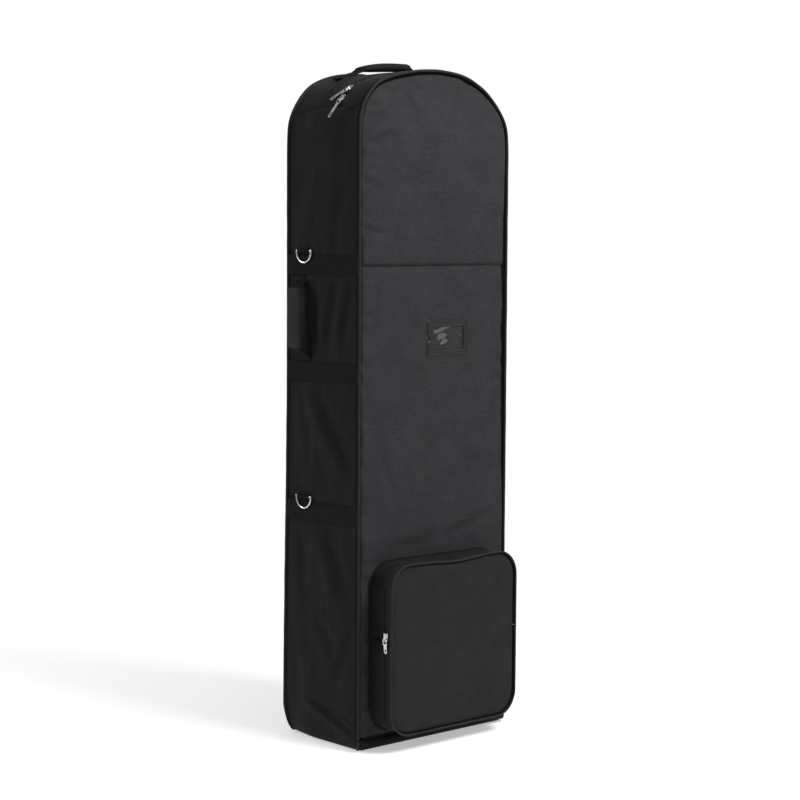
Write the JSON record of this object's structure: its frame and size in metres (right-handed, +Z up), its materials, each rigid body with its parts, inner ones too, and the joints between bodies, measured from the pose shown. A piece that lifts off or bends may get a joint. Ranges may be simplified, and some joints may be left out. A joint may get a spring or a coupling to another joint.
{
  "type": "golf travel case",
  "caption": "Tall soft golf travel case with an arched top, a zipped front flap hinged at one side, a zipped front pocket, webbing handles, hanging rings and rear wheels.",
  "frame": {"origin": "middle of the resting face under the boot, midway between the outer faces of the two side gussets and of the front and back panels", "axes": "+Z up from the floor, -Y towards the front panel and its pocket, +X to the right as seen from the front"},
  "size_m": [0.4116, 0.2942, 1.291],
  "materials": {
    "panel_fabric": "matte woven polyester",
    "gusset_fabric": "matte woven polyester",
    "piping": "smooth coated cord",
    "webbing": "ribbed nylon webbing",
    "grip_pad": "padded woven sleeve",
    "zip_tape": "woven tape with moulded coil",
    "zip_metal": "polished plate",
    "ring_metal": "polished wire",
    "card_frame": "glossy coated fabric",
    "card_back": "matte",
    "card_window": "clear flexible vinyl",
    "board": "moulded board",
    "foam": "closed-cell foam",
    "housing": "grained moulding",
    "screw": "plain",
    "axle": "turned",
    "tyre": "smooth tread",
    "hub": "moulded",
    "buckle": "moulded acetal"
  },
  "bodies": {
    "case": {"back_panel": "gusset_fabric", "left_gusset": "gusset_fabric", "crown_gusset_rear": "gusset_fabric", "right_gusset_rear": "gusset_fabric", "shell_zip_tape": "zip_tape", "rear_piping": "piping", "base_boot": "gusset_fabric", "boot_piping": "piping", "base_board": "board", "back_stiffener": "board", "crown_pad": "foam", "strap_upper": "webbing", "strap_middle": "webbing", "strap_lower": "webbing", "ring_tab_upper": "webbing", "ring_tab_lower": "webbing", "side_handle_ends": "webbing", "top_handle_ends": "webbing", "wheel_housing_left": "housing", "wheel_housing_right": "housing", "housing_screws": "screw", "wheel_axles": "axle", "inner_strap_upper": "webbing", "inner_strap_lower": "webbing", "buckle_sockets": "buckle"},
    "front_flap": {"front_panel_upper": "panel_fabric", "front_panel_lower": "panel_fabric", "crown_gusset_front": "gusset_fabric", "right_gusset_front": "gusset_fabric", "flap_zip_tape": "zip_tape", "front_piping": "piping", "card_backing": "card_back", "card_window": "card_window", "card_frame": "card_frame", "pocket_gusset": "gusset_fabric", "pocket_front_lower": "panel_fabric", "pocket_zip_tape_wall": "zip_tape", "pocket_piping_lower": "piping", "pocket_zip_tabs": "webbing"},
    "pocket_flap": {"pocket_cover": "panel_fabric", "pocket_zip_tape_cover": "zip_tape", "pocket_piping_cover": "piping"},
    "pocket_zip_slider": {"pocket_slider": "zip_metal"},
    "pocket_zip_pull": {"pocket_pull": "zip_metal"},
    "ring_upper": {"d_ring_upper": "ring_metal"},
    "ring_lower": {"d_ring_lower": "ring_metal"},
    "side_handle": {"side_handle_webbing": "webbing", "side_handle_grip": "grip_pad"},
    "top_handle": {"top_handle_webbing": "webbing", "top_handle_grip": "grip_pad"},
    "main_slider_upper": {"zip_slider_upper": "zip_metal"},
    "main_pull_upper": {"zip_pull_upper": "zip_metal"},
    "main_slider_lower": {"zip_slider_lower": "zip_metal"},
    "main_pull_lower": {"zip_pull_lower": "zip_metal"},
    "wheel_left": {"wheel_tyre_left": "tyre", "wheel_hub_left": "hub"},
    "wheel_right": {"wheel_tyre_right": "tyre", "wheel_hub_right": "hub"},
    "plug_upper": {"buckle_plug_upper": "buckle"},
    "plug_lower": {"buckle_plug_lower": "buckle"}
  },
  "joints": [
    {"name": "flap_hinge", "type": "hinge", "parent": "case", "child": "front_flap", "pos_m": [-0.18919, -0.10819, 0.6], "axis": [0, 0, -1], "range_deg": [0, 160]},
    {"name": "pocket_fold", "type": "hinge", "parent": "front_flap", "child": "pocket_flap", "pos_m": [0, -0.1723, 0.2072], "axis": [1, 0, 0], "range_deg": [0, 110]},
    {"name": "pocket_slider_travel", "type": "slide", "parent": "front_flap", "child": "pocket_zip_slider", "axis": [0, 0, 1], "range_m": [0, 0.07]},
    {"name": "pocket_pull_swing", "type": "hinge", "parent": "pocket_zip_slider", "child": "pocket_zip_pull", "pos_m": [-0.1643, -0.1542, 0.217], "axis": [0, 1, 0], "range_deg": [0, 150]},
    {"name": "ring_upper_swing", "type": "hinge", "parent": "case", "child": "ring_upper", "pos_m": [-0.1914, 0.049, 0.9315], "axis": [0, 1, 0], "range_deg": [0, 150]},
    {"name": "ring_lower_swing", "type": "hinge", "parent": "case", "child": "ring_lower", "pos_m": [-0.1914, 0.049, 0.4665], "axis": [0, 1, 0], "range_deg": [0, 150]},
    {"name": "side_handle_swing", "type": "hinge", "parent": "case", "child": "side_handle", "pos_m": [-0.2042, 0.049, 0.805], "axis": [0, 0, 1], "range_deg": [-30, 30]},
    {"name": "top_handle_swing", "type": "hinge", "parent": "case", "child": "top_handle", "pos_m": [0, 0.04, 1.271], "axis": [1, 0, 0], "range_deg": [-15, 15]},
    {"name": "main_slider_upper_travel", "type": "hinge", "parent": "case", "child": "main_slider_upper", "pos_m": [-0.092, -0.038, 1.15751], "axis": [0, 1, 0], "range_deg": [0, 16]},
    {"name": "main_pull_upper_swing", "type": "hinge", "parent": "main_slider_upper", "child": "main_pull_upper", "pos_m": [-0.15929, -0.038, 1.23094], "axis": [0.5648, 0.6428, 0.5175], "range_deg": [0, 150]},
    {"name": "main_slider_lower_travel", "type": "hinge", "parent": "case", "child": "main_slider_lower", "pos_m": [-0.092, -0.038, 1.15751], "axis": [0, 1, 0], "range_deg": [-1.5, 2.4]},
    {"name": "main_pull_lower_swing", "type": "hinge", "parent": "main_slider_lower", "child": "main_pull_lower", "pos_m": [-0.17647, -0.038, 1.21029], "axis": [0.224, 0.9063, 0.3584], "range_deg": [0, 110]},
    {"name": "wheel_left_spin", "type": "hinge", "parent": "case", "child": "wheel_left", "pos_m": [-0.14, 0.092, 0.033], "axis": [1, 0, 0], "continuous": true},
    {"name": "wheel_right_spin", "type": "hinge", "parent": "case", "child": "wheel_right", "pos_m": [0.14, 0.092, 0.033], "axis": [1, 0, 0], "continuous": true},
    {"name": "plug_upper_release", "type": "slide", "parent": "case", "child": "plug_upper", "axis": [-1, 0, 0], "range_m": [0, 0.03]},
    {"name": "plug_lower_release", "type": "slide", "parent": "case", "child": "plug_lower", "axis": [-1, 0, 0], "range_m": [0, 0.03]}
  ]
}
